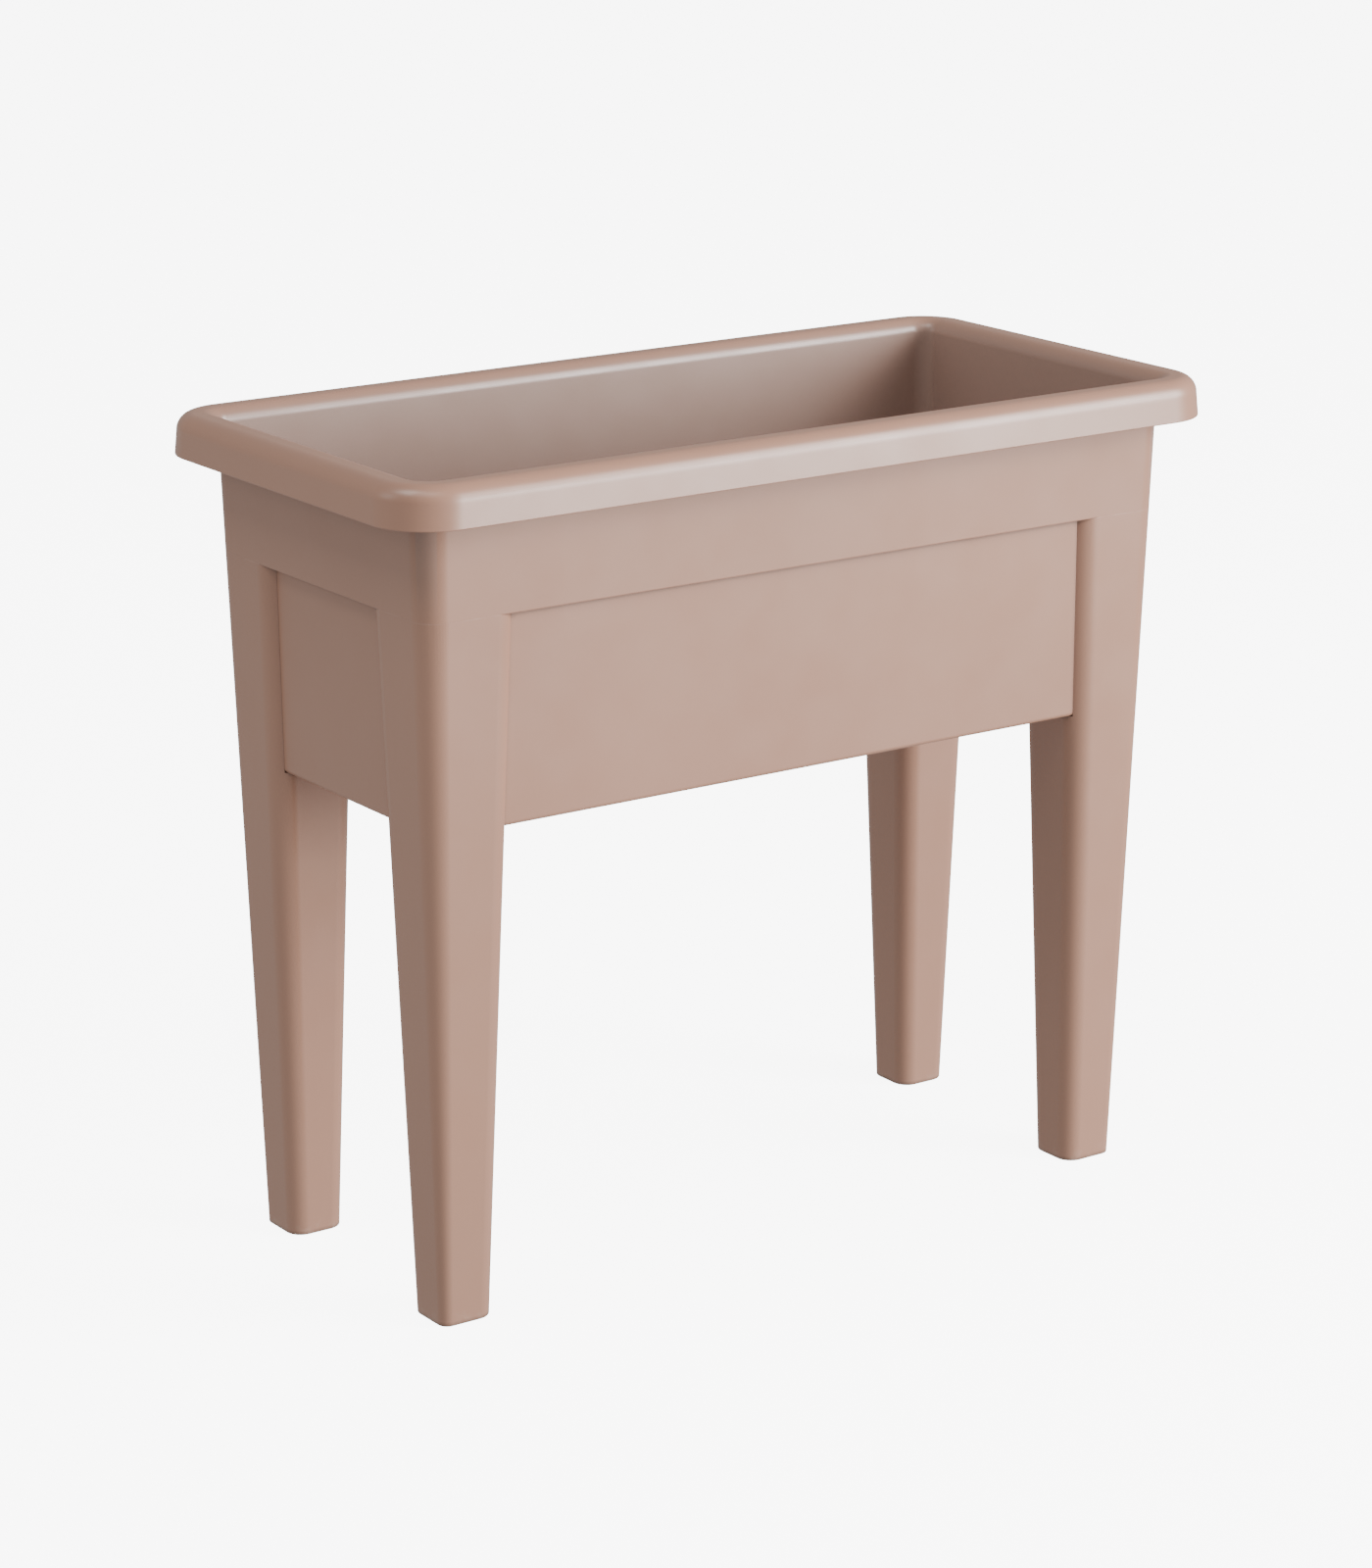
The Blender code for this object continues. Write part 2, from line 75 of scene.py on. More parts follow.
LEG_OUTER_EDGE = (0.0084, 0.0196)
LEG_INNER_EDGE = (0.0135, 0.0194)
SCREW_HEIGHT = 0.515
SCREW_IN_FROM_FACE = 0.040
SCREW_RADIUS = 0.0021
SCREW_LENGTH = 0.0078
HEAD_RADIUS = 0.0046
HEAD_HEIGHT = 0.0026
COLLAR_RADIUS = 0.017
COLLAR_BOTTOM = FLOOR_BOTTOM - 0.013
SOCKET_RADIUS = 0.0135
SOCKET_DEPTH = 0.0102
DRAIN_BORE = 0.0105
FLANGE_RADIUS = 0.0205
FLANGE_THICKNESS = 0.0035
GRIP = (0.032, 0.006, 0.010)
GRID_BOTTOM = FLOOR_TOP + 0.030
GRID_THICKNESS = 0.0025
GRID_LIP = 0.008
GRID_CLEARANCE = 0.004
GRID_CORNER = 0.012
GRID_FOOT_RADIUS = 0.011
GRID_FOOT_BORE = 0.0085
GRID_FOOT_X = (-0.300, 0, 0.300)
GRID_FOOT_Y = 0.112
WELL_X = 0.185
WELL_RADIUS = (0.029, 0.034)
WELL_BOTTOM = FLOOR_TOP + 0.003
WELL_WALL = 0.0022
WELL_SLIT = 0.0036
SLOT = (0.026, 0.0036)
SLOT_COLUMNS = 15
SLOT_ROWS = 7
SLOT_PITCH = (0.040, 0.032)

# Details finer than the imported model's
SEAM = 0.00002  # left open where a leg's top meets the band
CREASE = 0.00008  # left open between a leg and the trough's lower walls
BAND_EDGE = 0.0012
EDGE = 0.0005  # rounding of a crisp moulded edge
SKIRT_EDGE = 0.0009
FOOT_EDGE = 0.0011
STEP_ROUND = 0.0012
SCREW_TIP = 0.0022
HEAD_CROWN = 0.0007
HEAD_FACE_RADIUS = HEAD_RADIUS * 0.72
CROSS_SIZE = (0.0046, 0.0009)
CROSS_DEPTH = 0.0008
SEAL_EDGE = 0.0007
GRIP_CORNER = 0.0026
GRIP_EDGE = (0.0012, 0.0010, 0.0009)
THREAD_PITCH = 0.003
THREAD_DEPTH = 0.0009
THREAD_CLEARANCE = 0.0003
THREAD_START = 0.0022  # above the flange
THREAD_END = 0.0018  # below the plug's top
THREAD_BURIED = 0.0004  # how far the ridge goes into the plug's body
THREAD_ROOT = 0.36  # half widths of the ridge, as shares of the pitch
THREAD_CREST = 0.1
THREAD_RUN_OUT = 12  # steps in which the ridge rises from each end
GRID_UNDER_EDGE = 0.001
GRID_FILLET = 0.002
LIP_DRAFT = 0.0001

# How far solids that are joined or cut run into or past each other
OVERLAP = 0.001
OVERSHOOT = 0.003
HAIR = 0.00001  # keeps two edges of one outline apart

# How finely curves are drawn
CORNER_STEPS = 14
ROUND_STEPS = 10
TURNED_STEPS = 64
SMALL_TURNED_STEPS = 32
SHARP_ANGLE = math.radians(35)

CAMERA_PLACE = (-1.9317, -2.7572, 1.3109)
CAMERA_TURN = (90 - 16.109, 0, -34.870)
CAMERA_LENS = 101.84
CAMERA_SENSOR = 36

# Studio: each softbox's azimuth from +X, elevation, size and power
SOFTBOXES = (
    (-60, 6, 1.6, 121),
    (-45, 6, 1.6, 27),
    (-45, 18, 1.6, 92),
    (-45, 30, 1.6, 68),
    (-60, 30, 1.6, 10),
    (-120, 60, 1.6, 20),
    (180, 60, 1.6, 42),
    (160, 25, 1.6, 12),
)
LIGHTS_AIM = Vector((0, 0, 0.4))
LIGHTS_DISTANCE = 4.2
LIGHTS_OFF_FLOOR = 0.05
WORLD_LIGHT = 0.36
FLOOR_GLOW = 0.49
BACKDROP_GLOW = 7.5
WALL_OF_STUDIO = 30.0
HEIGHT_OF_STUDIO = 20.0
BEND_OF_STUDIO = 6.0
BELOW_FEET = 0.0005


# Shapes


def add_object(name, mesh):
    made = bpy.data.objects.new(name, mesh)
    bpy.context.scene.collection.objects.link(made)
    return made


def from_bmesh(name, shape):
    mesh = bpy.data.meshes.new(name)
    shape.to_mesh(mesh)
    shape.free()
    return add_object(name, mesh)


def change(target, tool, operation):
    """Joins or cuts at once, and removes the tool."""
    modifier = target.modifiers.new("change", "BOOLEAN")
    modifier.operation = operation
    modifier.object = tool
    modifier.solver = "EXACT"
    bpy.context.view_layer.update()
    mesh = bpy.data.meshes.new_from_object(target.evaluated_get(bpy.context.evaluated_depsgraph_get()))
    target.modifiers.clear()
    target.data = mesh
    bpy.data.objects.remove(tool)


def join(target, *tools):
    for tool in tools:
        change(target, tool, "UNION")


def cut(target, *tools):
    for tool in tools:
        change(target, tool, "DIFFERENCE")


def between(pair, share):
    return pair[0] + (pair[1] - pair[0]) * share


def outer_half(z):
    share = z / SKIRT_BOTTOM
    return between((FOOT_HALF[0], TOP_HALF[0]), share), between((FOOT_HALF[1], TOP_HALF[1]), share)


def outer_corner(z):
    return between(LEG_OUTER_EDGE, z / BAND_BOTTOM)


def lower_half(z, grow=0.0):
    return grown(outer_half(z), grow - RECESS)


def grown(half, by):
    return half[0] + by, half[1] + by


def rounded_outline(low, high, radii, z, steps=CORNER_STEPS):
    corners = ((high[0], high[1], 0), (low[0], high[1], 1), (low[0], low[1], 2), (high[0], low[1], 3))
    points = []
    for (x, y, quarter), radius in zip(corners, radii):
        centre_x = x + (radius if x == low[0] else -radius)
        centre_y = y + (radius if y == low[1] else -radius)
        for step in range(steps + 1):
            angle = math.pi / 2 * (quarter + step / steps)
            points.append((centre_x + radius * math.cos(angle), centre_y + radius * math.sin(angle), z))
    return points


def centred_outline(half, radius, z):
    return rounded_outline((-half[0], -half[1]), half, (radius,) * 4, z)


def rounding(half, radius, z, start, end, size, steps=ROUND_STEPS):
    """Outlines round a bend whose centre has this half size, corner radius and height."""
    outlines = []
    for step in range(steps + 1):
        angle = math.radians(start + (end - start) * step / steps)
        out = size * math.cos(angle)
        outlines.append(centred_outline(grown(half, out), radius + out, z + size * math.sin(angle)))
    return outlines


def loft(name, outlines):
    shape = bmesh.new()
    rings = [[shape.verts.new(point) for point in outline] for outline in outlines]
    for lower, upper in zip(rings, rings[1:]):
        for i, corner in enumerate(lower):
            j = (i + 1) % len(lower)
            shape.faces.new((corner, lower[j], upper[j], upper[i]))
    shape.faces.new(reversed(rings[0]))
    shape.faces.new(rings[-1])
    return from_bmesh(name, shape)


def boxes(name, places):
    shape = bmesh.new()
    for centre, size in places:
        bmesh.ops.create_cube(shape, size=1, matrix=Matrix.Translation(centre) @ Matrix.Diagonal((*size, 1)))
    return from_bmesh(name, shape)


def slots(name, places, size, low_z, high_z):
    """Upright cutters with round ends."""
    shape = bmesh.new()
    steps = 5
    radius = size[1] / 2 - HAIR
    for x, y in places:
        low = (x - size[0] / 2, y - size[1] / 2)
        high = (x + size[0] / 2, y + size[1] / 2)
        rings = [
            [shape.verts.new(point) for point in rounded_outline(low, high, (radius,) * 4, z, steps)]
            for z in (low_z, high_z)
        ]
        for i, corner in enumerate(rings[0]):
            j = (i + 1) % len(rings[0])
            shape.faces.new((corner, rings[0][j], rings[1][j], rings[1][i]))
        shape.faces.new(reversed(rings[0]))
        shape.faces.new(rings[1])
    return from_bmesh(name, shape)


def cylinders(name, places, steps=SMALL_TURNED_STEPS):
    """Upright cylinders or cones, each a centre, its lower and upper radius, and its length."""
    shape = bmesh.new()
    for centre, radii, length in places:
        bmesh.ops.create_cone(
            shape,
            cap_ends=True,
            segments=steps,
            radius1=radii[0],
            radius2=radii[1],
            depth=length,
            matrix=Matrix.Translation(centre),
        )
    return from_bmesh(name, shape)


def upright(name, radius, bottom, top):
    middle = (0, 0, (bottom + top) / 2)
    return cylinders(name, [(middle, (radius, radius), top - bottom)], TURNED_STEPS)


def turned(name, profile, closed, steps=TURNED_STEPS):
    """A body turned about Z from points (radius, z) that run down its outer side."""
    shape = bmesh.new()
    rings = []
    for radius, z in profile:
        if radius == 0:
            rings.append([shape.verts.new((0, 0, z))] * steps)
        else:
            angles = [2 * math.pi * step / steps for step in range(steps)]
            rings.append([shape.verts.new((radius * math.cos(a), radius * math.sin(a), z)) for a in angles])
    pairs = list(zip(rings, rings[1:]))
    if closed:
        pairs.append((rings[-1], rings[0]))
    for above, below in pairs:
        for i in range(steps):
            j = (i + 1) % steps
            corners = [above[i], below[i], below[j], above[j]]
            shape.faces.new(list(dict.fromkeys(corners)))
    return from_bmesh(name, shape)


def shaded(made):
    """Smooth shading that keeps flat faces flat and sharp edges sharp."""
    made.data.shade_smooth()
    made.data.set_sharp_from_angle(angle=SHARP_ANGLE)
    weighted = made.modifiers.new("even_normals", "WEIGHTED_NORMAL")
    weighted.keep_sharp = True
    weighted.weight = 80


# Mouldings


def trough_outside():
    edge = FLOOR_BOTTOM + BOTTOM_EDGE_ROUND
    bend = HEIGHT - RIM_INNER_ROUND
    inner_bend = RIM_INNER_ROUND - WALL
    edge_half = grown(lower_half(edge), -BOTTOM_EDGE_ROUND)
    outlines = rounding(edge_half, LOWER_CORNER - BOTTOM_EDGE_ROUND, edge, -90, 0, BOTTOM_EDGE_ROUND)
    fillet_half = grown(lower_half(BAND_BOTTOM - EDGE), EDGE)
    outlines += rounding(fillet_half, LOWER_CORNER + EDGE, BAND_BOTTOM - EDGE, 180, 90, EDGE, 3)
    outlines += band_edge(BAND_EDGE)
    bend_half = grown(outer_half(bend), inner_bend)
    outlines += rounding(bend_half, outer_corner(bend) + inner_bend, bend, 180, 90, inner_bend)
    return outlines


def band_edge(size):
    """Outlines round the band's lower edge, from below, with a rounding of this size."""
    z = BAND_BOTTOM + BAND_EDGE
    return rounding(grown(outer_half(z), -BAND_EDGE), outer_corner(z) - BAND_EDGE, z, -90, 0, size)


def rim_skirt():
    outer_bend = HEIGHT - RIM_OUTER_ROUND
    centre_half = grown(RIM_HALF, -SKIRT_DRAFT - RIM_OUTER_ROUND)
    centre_corner = RIM_CORNER - RIM_OUTER_ROUND
    lip = SKIRT_BOTTOM + SKIRT_EDGE
    outlines = rounding(centre_half, centre_corner, outer_bend, 90, 0, RIM_OUTER_ROUND - WALL)
    inner_lip = grown(RIM_HALF, SKIRT_EDGE - WALL)
    outlines += rounding(inner_lip, RIM_CORNER + SKIRT_EDGE - WALL, lip, 180, 270, SKIRT_EDGE, 4)
    outlines += rounding(grown(RIM_HALF, -SKIRT_EDGE), RIM_CORNER - SKIRT_EDGE, lip, -90, 0, SKIRT_EDGE, 4)
    outlines += rounding(centre_half, centre_corner, outer_bend, 0, 90, RIM_OUTER_ROUND, 14)
    return outlines


def trough_inside():
    bend = HEIGHT - RIM_INNER_ROUND
    step = BAND_BOTTOM + WALL
    fillet = FLOOR_TOP + FLOOR_FILLET
    bend_half = grown(outer_half(bend), RIM_INNER_ROUND - WALL)
    outlines = rounding(bend_half, INNER_CORNER + RIM_INNER_ROUND, bend, 90, 180, RIM_INNER_ROUND, 14)
    concave = grown(outer_half(step), -WALL - STEP_ROUND)
    outlines += rounding(concave, INNER_CORNER - STEP_ROUND, step + STEP_ROUND, 0, -90, STEP_ROUND, 4)
    lower_corner = LOWER_CORNER - WALL
    convex = grown(lower_half(step - STEP_ROUND), STEP_ROUND - WALL)
    outlines += rounding(convex, lower_corner + STEP_ROUND, step - STEP_ROUND, 90, 180, STEP_ROUND, 4)
    fillet_half = grown(lower_half(fillet), -WALL - FLOOR_FILLET)
    outlines += rounding(fillet_half, lower_corner - FLOOR_FILLET, fillet, 0, -90, FLOOR_FILLET)
    return outlines


def floor_ribs():
    def ribs(name, size, places):
        z = FLOOR_BOTTOM + OVERLAP - size[2] / 2
        return boxes(name, [((x, y, z), size) for x, y in places])

    return (
        ribs("long_ribs", LONG_RIB, [(0, y) for y in LONG_RIB_Y]),
        ribs("cross_ribs", CROSS_RIB, [(x, 0) for x in CROSS_RIB_X]),
    )


def planter_trough():
    made = loft("trough_moulding", trough_outside() + rim_skirt() + trough_inside())
    socket_top = COLLAR_BOTTOM + SOCKET_DEPTH
    join(made, *floor_ribs(), upright("collar", COLLAR_RADIUS, COLLAR_BOTTOM, FLOOR_BOTTOM + OVERLAP))
    cut(
        made,
        upright("socket", SOCKET_RADIUS, COLLAR_BOTTOM - OVERSHOOT, socket_top),
        upright("drain", DRAIN_BORE, socket_top - OVERLAP, FLOOR_TOP + OVERSHOOT),
    )
    mark_inside(made.data)
    return made


def mark_inside(mesh):
    """Gives the trough's points 1 inside it and 0 outside, with a soft change round the rim's inner bend. The
    material uses it to paint the inside greyer, as painted sheen.
    """
    values = []
    for point in mesh.vertices:
        x, y, z = point.co
        back = WALL / 2 if z > BAND_BOTTOM + WALL / 2 else RECESS + WALL / 2
        half = grown(outer_half(z), -back if z < HEIGHT - RIM_INNER_ROUND else RIM_INNER_ROUND)
        within = abs(x) < half[0] and abs(y) < half[1] and z > FLOOR_BOTTOM + OVERLAP
        below_rim = min(1, max(0, (HEIGHT - z) / RIM_INNER_ROUND))
        values.append(below_rim if within else 0)
    inside = mesh.attributes.new("inside", "FLOAT", "POINT")
    inside.data.foreach_set("value", values)


def leg_outline(z, inset):
    """The leg's section at height z in the +X+Y corner, drawn in by inset."""
    share = z / BAND_BOTTOM
    outer = outer_half(z)
    widths = [between(pair, share) for pair in zip(LEG_FOOT_WIDTH, LEG_TOP_WIDTH)]
    low = outer[0] - widths[0] + inset, outer[1] - widths[1] + inset
    inner = between(LEG_INNER_EDGE, share) - inset
    return rounded_outline(low, grown(outer, -inset), (outer_corner(z) - inset, inner, inner, inner), z)


def leg_master():
    """A leg whose top follows the rounding under the band."""
    top = BAND_BOTTOM + BAND_EDGE
    rings = 12
    steps = 4
    angles = [math.pi / 2 * step / steps for step in range(steps + 1)]
    foot = [leg_outline(FOOT_EDGE * (1 - math.cos(a)), FOOT_EDGE * (1 - math.sin(a))) for a in angles]
    shaft = [leg_outline(between((FOOT_EDGE, top), ring / rings), 0) for ring in range(1, rings + 1)]
    made = loft("leg_master", foot + shaft)
    room = [
        centred_outline(lower_half(z, CREASE), LOWER_CORNER, z)
        for z in (FLOOR_BOTTOM - CREASE, BAND_BOTTOM - SEAM)
    ]
    room += band_edge(BAND_EDGE + SEAM)
    room.append(centred_outline(grown(outer_half(HEIGHT), SEAM), outer_corner(HEIGHT), HEIGHT))
    cut(made, loft("room", room))
    return made


def leg_corners():
    """Each corner's name and its sides of the middle in x and y."""
    for depth, side_y in (("front", -1), ("rear", 1)):
        for end, side_x in (("left", -1), ("right", 1)):
            yield f"{depth}_{end}", side_x, side_y


def legs():
    """Each leg and the node that it replaces, mirrored from the leg in the +X+Y corner."""
    master = leg_master()
    made = []
    for corner, side_x, side_y in leg_corners():
        mesh = master.data.copy()
        mesh.transform(Matrix.Diagonal((side_x, side_y, 1, 1)))
        if side_x * side_y < 0:
            mesh.flip_normals()
        made.append((add_object(f"leg_moulding_{corner}", mesh), f"leg_{corner}"))
    bpy.data.objects.remove(master)
    return made


def rounded_profile(points, sizes, steps=4):
    """A turned profile with each corner rounded by its own size."""
    made = []
    last = len(points) - 1
    for i, (point, size) in enumerate(zip(points, sizes)):
        if size == 0 or i in (0, last):
            made.append(point)
            continue
        here = Vector(point)
        before = (Vector(points[i - 1]) - here).normalized() * size
        after = (Vector(points[i + 1]) - here).normalized() * size
        for step in range(steps + 1):
            t = step / steps
            made.append(tuple(here + before * (1 - t) ** 2 + after * t ** 2))
    return made


def screw_master():
    """A pan-head screw pointing up +Z, with the head's bearing face at the origin and a cross in its head."""
    points = [
        (0, SCREW_LENGTH),
        (SCREW_RADIUS, SCREW_LENGTH - SCREW_TIP),
        (SCREW_RADIUS, 0),
        (HEAD_RADIUS, 0),
        (HEAD_RADIUS, HEAD_CROWN - HEAD_HEIGHT),
        (HEAD_FACE_RADIUS, -HEAD_HEIGHT),
        (0, -HEAD_HEIGHT),
    ]
    profile = rounded_profile(points, (0, 0, 0, 0.0003, 0.0004, 0.0008, 0))
    made = turned("screw_master", profile, False, SMALL_TURNED_STEPS)
    cut(made, loft("cross_slot", [cross_outline(z - HEAD_HEIGHT) for z in (-CROSS_DEPTH, CROSS_DEPTH)]))
    return made


def cross_outline(z):
    """The outline of the cross in a screw's head, made a quarter at a time."""
    arm, half_width = CROSS_SIZE[0] / 2, CROSS_SIZE[1] / 2
    quarter = ((arm, half_width), (half_width, half_width), (half_width, arm))
    points = []
    for turns in range(4):
        for x, y in quarter:
            for _ in range(turns):
                x, y = -y, x
            points.append((x, y, z))
    return points


def leg_screws():
    """Each screw and the node that it replaces. It stands off its leaning wall by a hair."""
    master = screw_master()
    half = grown(lower_half(SCREW_HEIGHT), -WALL)
    outer = outer_half(SCREW_HEIGHT)
    lean = (TOP_HALF[1] - FOOT_HALF[1]) / SKIRT_BOTTOM
    stand_off = SEAM + HEAD_RADIUS * lean
    made = []
    for corner, side_x, side_y in leg_corners():
        along_x = side_x * (outer[0] - SCREW_IN_FROM_FACE)
        along_y = side_y * (outer[1] - SCREW_IN_FROM_FACE)
        ends = {
            "end": ((side_x * half[0], along_y, SCREW_HEIGHT), (side_x, 0, 0)),
            "side": ((along_x, side_y * half[1], SCREW_HEIGHT), (0, side_y, 0)),
        }
        for end, (point, direction) in ends.items():
            screw = add_object(f"screw_{corner}_{end}", master.data)
            screw.rotation_mode = "QUATERNION"
            screw.rotation_quaternion = Vector(direction).to_track_quat("Z", "X")
            screw.location = Vector(point) - Vector(direction) * stand_off
            made.append((screw, f"leg_screw_{corner}_{end}"))
    bpy.data.objects.remove(master)
    return made


def plug_seal():
    low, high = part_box("plug_seal")
    edge = SEAL_EDGE
    points = [
        (SOCKET_RADIUS, high.z),
        (COLLAR_RADIUS, high.z),
        (COLLAR_RADIUS, low.z),
        (SOCKET_RADIUS, low.z),
    ]
    profile = rounded_profile([*points, points[0]], (0, edge, edge, 0, 0), 5)[:-1]
    return turned("seal_ring", profile, True)


def thread(name, radius, depth, pitch, bottom, top):
    """A helical ridge round Z, which runs out to nearly nothing at both ends."""
    shape = bmesh.new()
    turns = (top - bottom) / pitch
    steps = int(turns * TURNED_STEPS)
    rings = []
    for step in range(steps + 1):
        angle = 2 * math.pi * step / TURNED_STEPS
        z = bottom + (top - bottom) * step / steps
        ends = min(1, step / THREAD_RUN_OUT, (steps - step) / THREAD_RUN_OUT)
        crest = radius - depth + depth * max(ends, 0.05)
        root = radius - depth - THREAD_BURIED
        section = (
            (root, z - pitch * THREAD_ROOT),
            (crest, z - pitch * THREAD_CREST),
            (crest, z + pitch * THREAD_CREST),
            (root, z + pitch * THREAD_ROOT),
        )
        rings.append([shape.verts.new((r * math.cos(angle), r * math.sin(angle), h)) for r, h in section])
    for before, after in zip(rings, rings[1:]):
        for i in range(4):
            j = (i + 1) % 4
            shape.faces.new((before[i], after[i], after[j], before[j]))
    shape.faces.new(rings[0])
    shape.faces.new(reversed(rings[-1]))
    bmesh.ops.recalc_face_normals(shape, faces=shape.faces)
    return from_bmesh(name, shape)


def drain_plug():
    """The plug's body and its thread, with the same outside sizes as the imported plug."""
    low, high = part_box("drain_plug")
    flange_top = low.z + GRIP[2] - OVERLAP + FLANGE_THICKNESS
    crest = SOCKET_RADIUS - THREAD_CLEARANCE
    root = crest - THREAD_DEPTH
    points = [
        (0, high.z),
        (root, high.z),
        (root, flange_top),
        (FLANGE_RADIUS, flange_top),
        (FLANGE_RADIUS, flange_top - FLANGE_THICKNESS),
        (0, flange_top - FLANGE_THICKNESS),
    ]
    body = turned("plug_body", rounded_profile(points, (0, 0.001, 0.0004, 0.0008, 0.001, 0)), False)
    half = (GRIP[0] / 2, GRIP[1] / 2)
    grip = rounded_outline((-half[0], -half[1]), half, (GRIP_CORNER,) * 4, 0, 6)
    inset = [(x * (1 - GRIP_EDGE[0] / half[0]), y * (1 - GRIP_EDGE[1] / half[1])) for x, y, _ in grip]
    top = flange_top - FLANGE_THICKNESS + OVERLAP
    handle = loft(
        "plug_handle",
        [
            [(x, y, low.z) for x, y in inset],
            [(x, y, low.z + GRIP_EDGE[2]) for x, y, _ in grip],
            [(x, y, top) for x, y, _ in grip],
        ],
    )
    join(body, handle)
    start = flange_top + THREAD_START
    end = high.z - THREAD_END
    return body, thread("plug_thread", crest, THREAD_DEPTH, THREAD_PITCH, start, end)


def slot_places():
    places = []
    for column in range(SLOT_COLUMNS):
        for row in range(SLOT_ROWS):
            x = (column - (SLOT_COLUMNS - 1) / 2) * SLOT_PITCH[0]
            y = (row - (SLOT_ROWS - 1) / 2) * SLOT_PITCH[1]
            in_well = math.hypot(abs(x) - WELL_X, y) < WELL_RADIUS[1] + SLOT[0] / 2
            in_foot = any(
                abs(x - foot_x) < GRID_FOOT_RADIUS + SLOT[0] / 2
                and abs(abs(y) - GRID_FOOT_Y) < GRID_FOOT_RADIUS + SLOT[1] / 2
                for foot_x in GRID_FOOT_X
            )
            if not (in_well or in_foot):
                places.append((x, y))
    return places


def reservoir_grid():
    top = GRID_BOTTOM + GRID_THICKNESS
    lip_top = top + GRID_LIP
    half = grown(lower_half(GRID_BOTTOM), -WALL - GRID_CLEARANCE)
    lip = GRID_THICKNESS / 2 - LIP_DRAFT
    middle = grown(half, -GRID_THICKNESS / 2)
    middle_corner = GRID_CORNER - GRID_THICKNESS / 2
    under = GRID_UNDER_EDGE
    fillet = GRID_FILLET
    outlines = rounding(grown(half, -under), GRID_CORNER - under, GRID_BOTTOM + under, -90, 0, under, 4)
    outlines += rounding(middle, middle_corner, lip_top - lip, 0, 180, lip, 8)
    inside = grown(half, -GRID_THICKNESS - fillet)
    outlines += rounding(inside, GRID_CORNER - GRID_THICKNESS - fillet, top + fillet, 0, -90, fillet, 5)
    made = loft("grid_moulding", outlines)
    plate_middle = GRID_BOTTOM + GRID_THICKNESS / 2
    foot_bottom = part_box("reservoir_grid")[0].z
    foot_places = [(x, y) for x in GRID_FOOT_X for y in (-GRID_FOOT_Y, GRID_FOOT_Y)]
    well_places = [(-WELL_X, 0), (WELL_X, 0)]

    def standing(name, places, radii, bottom, upper, steps=SMALL_TURNED_STEPS):
        solids = [((x, y, (bottom + upper) / 2), radii, upper - bottom) for x, y in places]
        return cylinders(name, solids, steps=steps)

    well_inside = [radius - WELL_WALL for radius in WELL_RADIUS]
    slit_z = (WELL_BOTTOM + GRID_BOTTOM) / 2
    slit_height = (GRID_BOTTOM - WELL_BOTTOM) / 2
    join(
        made,
        standing("feet", foot_places, (GRID_FOOT_RADIUS,) * 2, foot_bottom, plate_middle),
        standing("wells", well_places, WELL_RADIUS, WELL_BOTTOM, plate_middle, TURNED_STEPS),
    )
    bore_top = GRID_BOTTOM - OVERLAP
    well_floor = WELL_BOTTOM + WELL_WALL
    cut(
        made,
        standing("foot_bores", foot_places, (GRID_FOOT_BORE,) * 2, foot_bottom - OVERSHOOT, bore_top),
        standing("well_inside", well_places, well_inside, well_floor, plate_middle + OVERSHOOT, TURNED_STEPS),
        slots("grid_slots", slot_places(), SLOT, GRID_BOTTOM - OVERSHOOT, top + OVERSHOOT),
    )
    length = 3 * WELL_RADIUS[1]
    for angle, deeper in ((0, 0), (90, OVERLAP), (45, OVERLAP / 2), (-45, OVERLAP / 4)):
        turn = math.radians(angle)
        slit = boxes("well_slits", [((0, 0, 0), (length, WELL_SLIT, slit_height + deeper))])
        for x, _ in well_places:
            copy = add_object("well_slit", slit.data.copy())
            copy.data.transform(Matrix.Translation((x, 0, slit_z)) @ Matrix.Rotation(turn, 4, "Z"))
            cut(made, copy)
        bpy.data.objects.remove(slit)
    return made


# Materials


